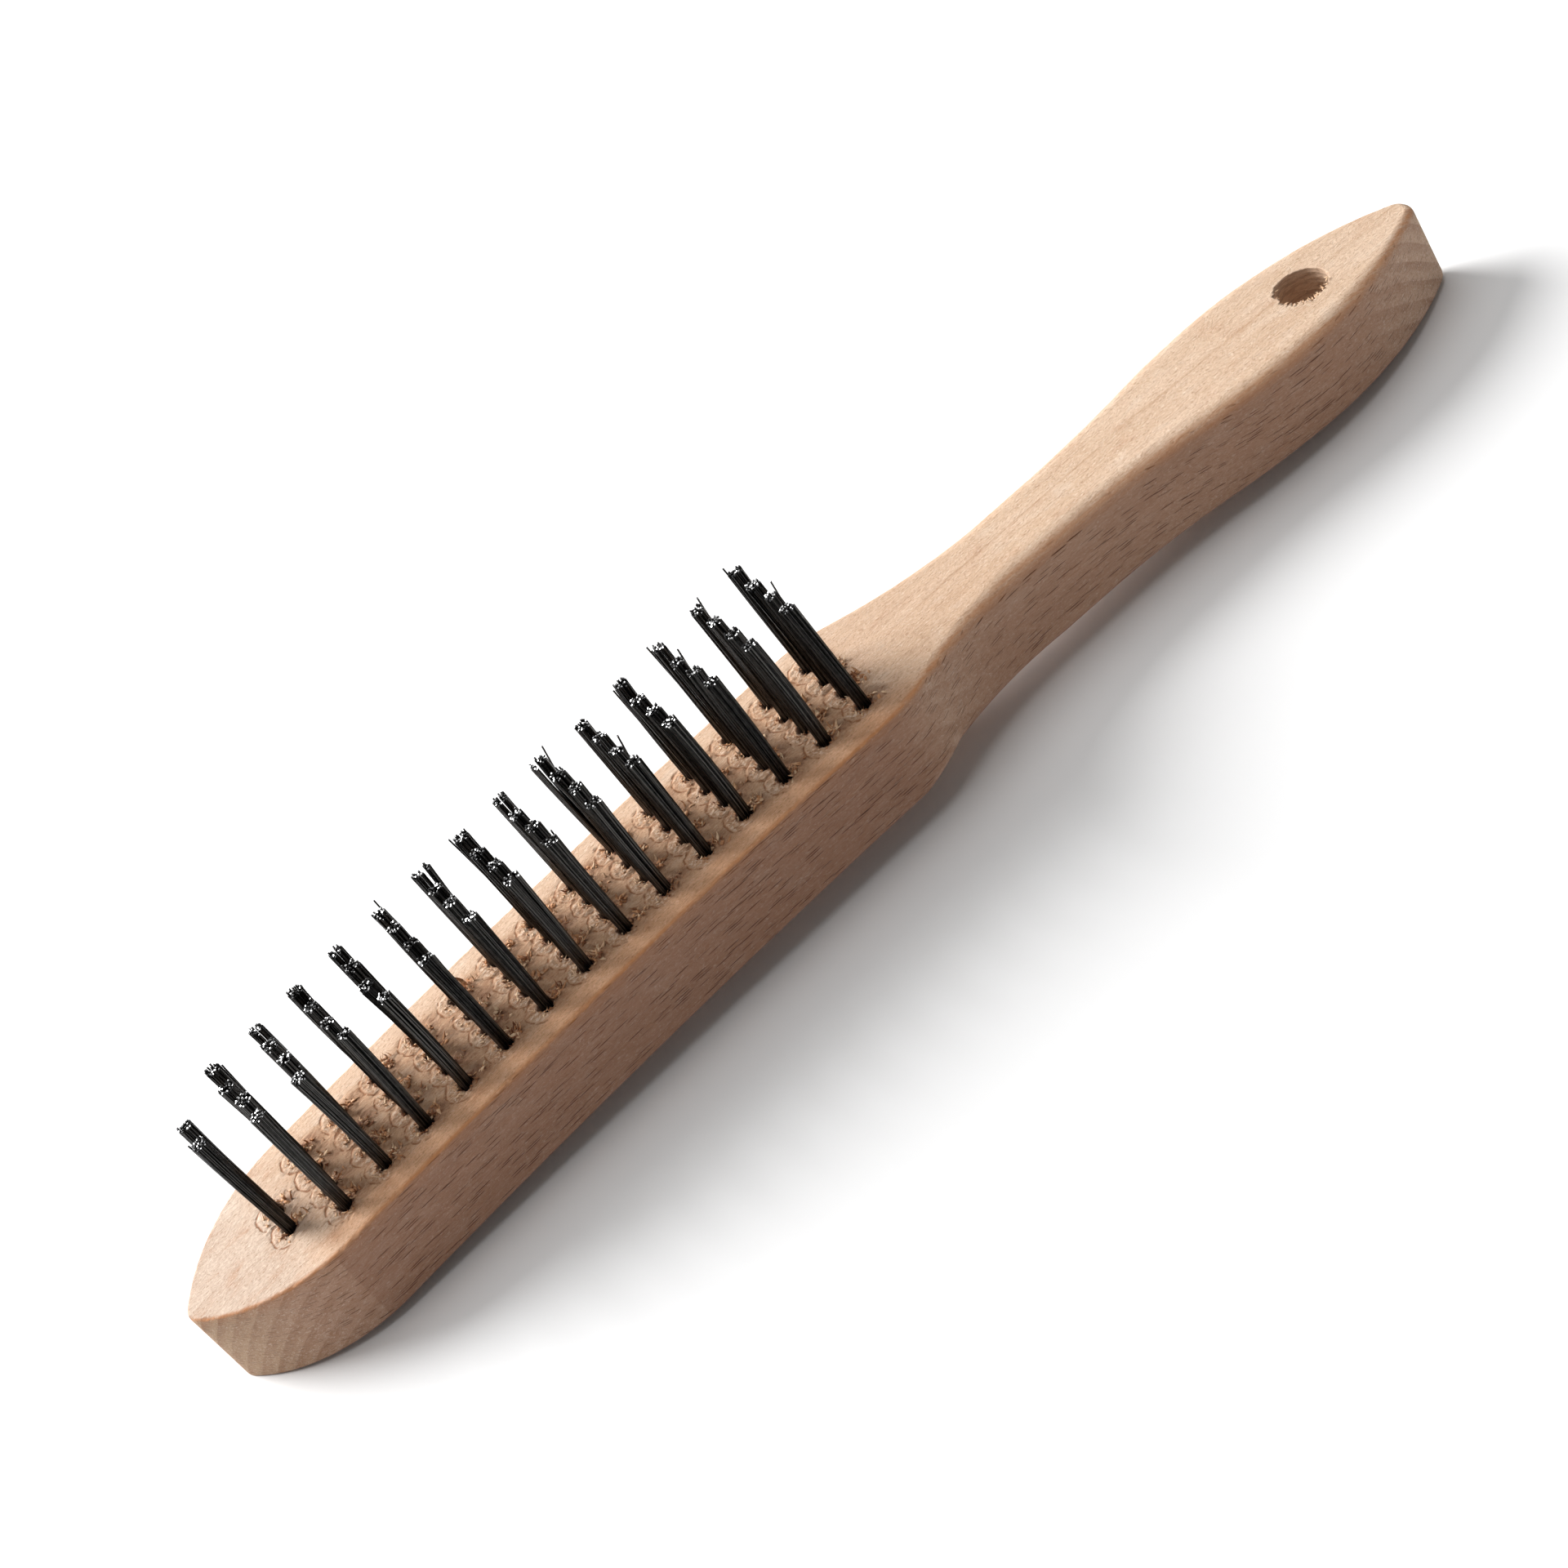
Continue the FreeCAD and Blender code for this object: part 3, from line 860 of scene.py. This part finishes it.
def tube(points, radius, sides, tilt_first, tilt_last):
    """Vertices of a tube along points, whose end rings are cut at a slant."""
    points = np.array(points)
    along = np.gradient(points, axis=0)
    along /= np.linalg.norm(along, axis=1)[:, None]
    side = np.cross(along, (0.0, 1.0, 0.0))
    side /= np.linalg.norm(side, axis=1)[:, None]
    other = np.cross(side, along)
    angles = np.linspace(0, 2 * math.pi, sides, endpoint=False)
    rings = (points[:, None] + radius * (np.cos(angles)[None, :, None] * side[:, None]
                                         + np.sin(angles)[None, :, None] * other[:, None]))
    for end, tilt in ((0, tilt_first), (-1, tilt_last)):
        slant = radius * (tilt[0] * np.cos(angles) + tilt[1] * np.sin(angles))
        rings[end] += slant[:, None] * along[end]
    return rings


def tube_faces(rings, sides):
    """Quads along a tube and its two end faces, numbered from 0."""
    faces = []
    for ring in range(rings - 1):
        for step in range(sides):
            after = (step + 1) % sides
            low, high = ring * sides, (ring + 1) * sides
            faces.append((low + step, low + after, high + after, high + step))
    ends = [tuple(reversed(range(sides))), tuple(range((rings - 1) * sides, rings * sides))]
    return faces, ends


# Wires that stand off their tuft: row, column, direction of the lean in degrees from the tail,
# reach at the tip, where the wire leaves the tuft as a share of its height, and added length
STRAYS = [
    (2, "a", -10, 0.9, 0.0, -1.4), (3, "d", 10, 0.8, 0.3, 0.6), (4, "a", 0, 0.7, 0.5, -0.6),
    (6, "d", -20, 0.9, 0.1, -0.5), (6, "a", 20, 0.2, 0.7, 1.9), (8, "a", 180, 0.9, 0.0, 0.3),
    (10, "a", 5, 1.5, 0.5, 1.4), (10, "b", 15, 0.7, 0.5, -0.4), (11, "c", 0, 1.1, 0.7, 1.4),
    (12, "a", 178, 0.7, 0.2, -0.6), (13, "a", 176, 0.7, 0.2, 0.7), (13, "b", 15, 0.7, 0.6, 1.3),
    (14, "a", 10, 0.9, 0.5, 0.8), (15, "a", 165, 0.3, 0.5, 1.0), (15, "c", 0, 0.9, 0.5, 2.0),
    (1, "c", 175, 0.4, 0.4, 0.3), (9, "d", 10, 0.4, 0.4, 0.5), (5, "b", -170, 0.3, 0.4, 0.4),
]

# Tufts that open into two bunches at the tip: row, column, direction of the gap and its width
SPLITS = {(7, "a"): (0, 0.9), (10, "a"): (180, 0.8), (8, "d"): (0, 0.5)}

# The rows from here to the shoulder lean further to the nose and stand higher, row by row
LAST_LEVEL_ROW = 11


def tuft_shape(row, column):
    """Lean, flare and height of one tuft."""
    late = max(0, row - LAST_LEVEL_ROW) / (ROWS - LAST_LEVEL_ROW)
    lean = -0.85 if row == 1 else -0.55 - 0.5 * late
    near = COLUMN_NAMES.index(column) / 3
    return {
        "lean_x": rng.gauss(lean, 0.22),
        "lean_y": rng.gauss(0.0, 0.18),
        "flare": rng.uniform(1.04, 1.28),
        "height": rng.gauss(0.1, 0.16) + late * (0.6 + 0.8 * near),
        "turn": rng.uniform(-0.12, 0.12),
        "bend": rng.gauss(0.0, 0.25),
    }


def strand_tip(base, shape, split):
    """Where a strand that leaves the hole at base ends, relative to the tuft's middle."""
    x, y = base
    turned = Vector((x, y)) @ Matrix.Rotation(shape["turn"], 2) * shape["flare"]
    tip_x = turned.x + shape["lean_x"] + rng.gauss(0, 0.07)
    tip_y = turned.y + shape["lean_y"] + rng.gauss(0, 0.07)
    height = TRIM_HEIGHT + shape["height"] + rng.gauss(0, 0.2) - abs(rng.gauss(0, 0.3))
    if split:
        gap = Vector((math.cos(math.radians(split[0])), math.sin(math.radians(split[0]))))
        if Vector((x, y)).dot(gap) > 0.45:
            tip_x += gap.x * split[1]
            tip_y += gap.y * split[1]
    return [tip_x, tip_y, height]


def strand_path(base, tip, face, bend, leaves_at=0.0, stand_off=(0.0, 0.0)):
    """Points from the tip down to the bottom of the hole, above the fold."""
    shares = (1.0, 0.985, 0.8, 0.6, 0.4, 0.2, 0.06)
    path = []
    for share in shares:
        ease = share ** 1.25
        away = max(0.0, (share - leaves_at) / (1 - leaves_at)) ** 1.4
        bow = bend * share * (1 - share) * 2
        path.append((base[0] + (tip[0] - base[0]) * ease + bow + stand_off[0] * away,
                     base[1] + (tip[1] - base[1]) * ease + stand_off[1] * away,
                     face + (tip[2] - face) * share))
    path.append((base[0], base[1], face - 1.5))
    path.append((base[0], base[1], -HOLE_DEPTH + FOLD_HEIGHT))
    return path


def fold_path(x, y):
    """Points round the underside of the anchor, from the strand at x to its twin at -x."""
    depth = (FOLD_HEIGHT - WIRE_R) * (0.35 + 0.65 * x / BUNDLE_R)
    path = []
    for step in range(1, FOLD_STEPS):
        angle = math.pi * step / FOLD_STEPS
        path.append((x * math.cos(angle), y, -HOLE_DEPTH + FOLD_HEIGHT - depth * math.sin(angle)))
    return path


def half_wire(pair, sign, shape, split, surface, strays):
    """One strand of a folded wire, from its tip to the fold. A strand that strays is taken off strays."""
    base = (sign * pair[0] + rng.gauss(0, 0.02), pair[1] + rng.gauss(0, 0.02))
    tip = strand_tip(base, shape, split)
    leaves_at, stand_off = 0.0, (0.0, 0.0)
    outermost = sorted(strand_pairs(), key=lambda pair: -math.hypot(*pair))
    if strays and pair == outermost[len(strays)] and sign * math.cos(math.radians(strays[0][0])) > 0:
        direction, reach, leaves_at, added = strays.pop(0)
        angle = math.radians(direction)
        stand_off = (reach * math.cos(angle), reach * math.sin(angle))
        tip[2] += added
    bend = shape["bend"] + rng.gauss(0, 0.05)
    return strand_path(base, tip, surface, bend, leaves_at, stand_off)


def make_tuft(row, column, node, materials):
    """One tuft, wire by wire. The second material is on the cut ends."""
    x, y = tuft_place(row, column)
    surface = float(bow_height(x)) - 0.15
    shape = tuft_shape(row, column)
    split = SPLITS.get((row, column))
    strays = [stray[2:] for stray in STRAYS if stray[:2] == (row, column)]
    points, tones, wall_faces, end_faces = [], [], [], []
    for pair in strand_pairs():
        tailward, noseward = (half_wire(pair, sign, shape, split, surface, strays) for sign in (1, -1))
        path = tailward + fold_path(*pair) + noseward[::-1]
        tilts = [(rng.uniform(-0.45, 0.45), rng.uniform(-0.45, 0.45)) for _ in range(2)]
        first = len(points)
        points.extend(tube(path, WIRE_R, WIRE_SIDES, *tilts).reshape(-1, 3).tolist())
        tones.extend([rng.random()] * (len(path) * WIRE_SIDES))
        walls, ends = tube_faces(len(path), WIRE_SIDES)
        wall_faces += [tuple(first + k for k in face) for face in walls]
        end_faces += [tuple(first + k for k in face) for face in ends]
    points = np.array(points) + (x, y, 0)
    mesh = new_mesh(node, points.tolist(), wall_faces + end_faces)
    add_attribute(mesh, "tone", tones)
    finish_piece(mesh, node.replace("tuft", "wires"), materials, [node])
    is_end = np.repeat([0, 1], [len(wall_faces), len(end_faces)])
    mesh.polygons.foreach_set("material_index", is_end.astype(np.int32))
    mesh.polygons.foreach_set("use_smooth", is_end == 0)


# ---------------------------------------------------------------- torn fibres

class Splinters:
    """Curled slivers of torn wood, gathered into one mesh."""

    def __init__(self):
        self.points, self.faces, self.tones = [], [], []

    def add(self, start, direction, length, width, lift, tone, curl=0.5):
        """A sliver from start that leaves along direction (degrees from the tail) and curls up."""
        angle = math.radians(direction)
        ahead = np.array([math.cos(angle), math.sin(angle), 0.0])
        across = np.array([-math.sin(angle), math.cos(angle), 0.0])
        steps = 5
        first = len(self.points)
        sway = rng.uniform(-0.8, 0.8)
        for step in range(steps):
            share = step / (steps - 1)
            taper = (1 - share) ** 0.6 * (0.55 + 0.9 * share * (1 - share) * 2)
            rise = math.radians(lift) + curl * share
            raised = np.array([0, 0, length * share * math.sin(rise)])
            centre = (np.array(start) + ahead * length * share * math.cos(rise)
                      + across * sway * length * share ** 2 + raised)
            half, thick = width / 2 * max(taper, 0.12), width * 0.32 * max(taper, 0.15)
            for side, up in ((-1, -1), (1, -1), (1, 1), (-1, 1)):
                point = centre + across * side * half + np.array([0, 0, up * thick / 2])
                self.points.append(tuple(point))
                self.tones.append(min(1.0, max(0.0, tone + rng.uniform(-0.1, 0.1))))
        for step in range(steps - 1):
            low, high = first + 4 * step, first + 4 * (step + 1)
            for side in range(4):
                after = (side + 1) % 4
                self.faces.append((low + side, low + after, high + after, high + side))
        self.faces.append((first + 3, first + 2, first + 1, first))
        last = first + 4 * (steps - 1)
        self.faces.append((last, last + 1, last + 2, last + 3))

    def make_piece(self, name, material):
        mesh = new_mesh(name, self.points, self.faces)
        add_attribute(mesh, "tone", self.tones)
        finish_piece(mesh, name, [material])


def beside(x, y, angle, reach, z):
    """Point at height z that lies reach from x, y in the direction angle, in degrees from the tail."""
    return x + reach * math.cos(math.radians(angle)), y + reach * math.sin(math.radians(angle)), z


def tear_round_tuft(splinters, row, column):
    """Torn wood round one tuft: crumbs at the rim, pale chips on the nose side, a heap on the tail side."""
    x, y = tuft_place(row, column)
    face = float(bow_height(x))
    for _ in range(22):
        angle = rng.uniform(-180, 180)
        splinters.add(beside(x, y, angle, rng.uniform(1.4, 2.1), face - 0.1),
                      direction=angle + rng.uniform(-110, 110), length=rng.uniform(0.4, 1.1),
                      width=rng.uniform(0.3, 0.6), lift=rng.uniform(0, 40), tone=rng.uniform(0.2, 1.0))
    for _ in range(12):
        angle = rng.gauss(180, 50)
        splinters.add(beside(x, y, angle, rng.uniform(1.6, 2.7), face - 0.16),
                      direction=rng.uniform(-180, 180), length=rng.uniform(0.5, 1.1),
                      width=rng.uniform(0.35, 0.65), lift=rng.uniform(0, 22), tone=rng.uniform(0.0, 0.4),
                      curl=rng.uniform(-0.6, 0.8))
    heap_x, heap_y = x + rng.uniform(2.2, 3.0), y + rng.uniform(-0.6, 0.6)
    for _ in range(rng.randint(14, 44)):
        start = (heap_x + rng.gauss(0, 0.7), heap_y + rng.gauss(0, 0.7),
                 face - 0.1 + abs(rng.gauss(0, 0.25)))
        splinters.add(start, direction=rng.uniform(-180, 180), length=rng.uniform(0.7, 1.7),
                      width=rng.uniform(0.45, 0.95), lift=rng.uniform(-12, 28), tone=rng.uniform(0.0, 0.9),
                      curl=rng.uniform(-1.0, 1.3))


def tear_round_hang_hole(splinters):
    """Short pale fibres left along the near side of the hanging hole's rim."""
    face = float(bow_height(HANG_HOLE_X))
    for _ in range(60):
        angle = rng.gauss(-130, 45)
        reach = HANG_HOLE_R + rng.uniform(0.0, 0.25)
        splinters.add(beside(HANG_HOLE_X, 0.0, angle, reach, face - rng.uniform(0.02, 0.12)),
                      direction=angle + 180 + rng.uniform(-50, 50), length=rng.uniform(0.5, 1.3),
                      width=rng.uniform(0.25, 0.45), lift=rng.uniform(-14, 4), tone=rng.uniform(0.0, 0.35),
                      curl=0.1)


def make_torn_fibres(material):
    splinters = Splinters()
    for row, column, _ in tuft_names():
        tear_round_tuft(splinters, row, column)
    tear_round_hang_hole(splinters)
    x, y = tuft_place(6, "a")
    large_start = (x + 2.5, y + 0.2, float(bow_height(x)) - 0.1)
    splinters.add(large_start, direction=70, length=3.4, width=1.1, lift=40, tone=0.5, curl=0.8)
    splinters.make_piece("torn_fibres", material)


# ---------------------------------------------------------------- stage

def make_floor(material):
    """Round floor, small enough for the bright horizon to show beyond it."""
    around = 96
    angles = [2 * math.pi * step / around for step in range(around)]
    rim = [(FLOOR_R * math.cos(angle), FLOOR_R * math.sin(angle), 0) for angle in angles]
    mesh = new_mesh("floor", rim, [tuple(range(around))])
    mesh.materials.append(material)
    add_object("floor", mesh)


def add_area_light(name, direction, size, power):
    """Disc light that shines on the origin from direction."""
    light = bpy.data.lights.new(name, "AREA")
    light.shape = "DISK"
    light.size = size
    light.energy = power
    lamp = add_object(name, light)
    away = Vector(direction).normalized()
    lamp.location = away * LIGHT_DISTANCE
    lamp.rotation_euler = away.to_track_quat("Z", "Y").to_euler()


def light_stage():
    """White horizon that fades to a dim sky, one large light from behind and one overhead."""
    world = bpy.data.worlds.new("studio")
    bpy.context.scene.world = world
    world.use_nodes = True
    tree = world.node_tree
    direction = tree.nodes.new("ShaderNodeTexCoord")
    height = tree.nodes.new("ShaderNodeSeparateXYZ")
    fade = tree.nodes.new("ShaderNodeMapRange")
    fade.interpolation_type = "SMOOTHSTEP"
    fade.inputs["From Max"].default_value = 0.45
    fade.inputs["To Min"].default_value = HORIZON_LIGHT
    fade.inputs["To Max"].default_value = SKY_LIGHT
    tree.links.new(direction.outputs["Generated"], height.inputs[0])
    tree.links.new(height.outputs["Z"], fade.inputs["Value"])
    background = tree.nodes["Background"]
    background.inputs["Color"].default_value = (1.0, 1.0, 1.0, 1.0)
    tree.links.new(fade.outputs[0], background.inputs["Strength"])
    add_area_light("key", direction=(-0.48, 0.68, 0.54), size=2.7, power=290)
    add_area_light("overhead", direction=(-0.1, 0.15, 1.0), size=3.8, power=74)
    bpy.context.scene.view_settings.view_transform = "Standard"


def place_camera():
    elevation, azimuth, roll = (math.radians(a) for a in (CAMERA_ELEVATION, CAMERA_AZIMUTH, CAMERA_ROLL))
    forward = Vector((math.sin(azimuth) * math.cos(elevation), math.cos(azimuth) * math.cos(elevation),
                      -math.sin(elevation)))
    level = Vector((math.cos(azimuth), -math.sin(azimuth), 0))
    upright = level.cross(forward)
    right = level * math.cos(roll) + upright * math.sin(roll)
    up = right.cross(forward)
    data = bpy.data.cameras.new("camera")
    data.lens = CAMERA_LENS
    data.sensor_width = 36
    data.clip_start = 0.01
    camera = add_object("camera", data)
    turn = Matrix((right, up, -forward)).transposed()
    camera.matrix_world = Matrix.Translation(CAMERA_TARGET - forward * CAMERA_DISTANCE) @ turn.to_4x4()
    bpy.context.scene.camera = camera


# ---------------------------------------------------------------- assembly

place_camera()
light_stage()
make_floor(floor_material())
make_block(beech_material())
make_torn_fibres(torn_fibre_material())
wire = wire_material("wire", (0.011, 0.0107, 0.0103, 1), (0.094, 0.091, 0.087, 1), 0.3)
cut_end = wire_material("cut_wire_end", (0.03, 0.03, 0.031, 1), (1.0, 1.0, 1.0, 1), 0.37, 0.3)
for row, column, node in tuft_names():
    make_tuft(row, column, node, [wire, cut_end])
anchor_steel = wire_material("anchor_steel", (0.35, 0.35, 0.36, 1), (0.6, 0.6, 0.61, 1), 0.35)
anchors = frame["nodes"]["tuft_anchors"]
anchors.data.materials.clear()
anchors.data.materials.append(anchor_steel)
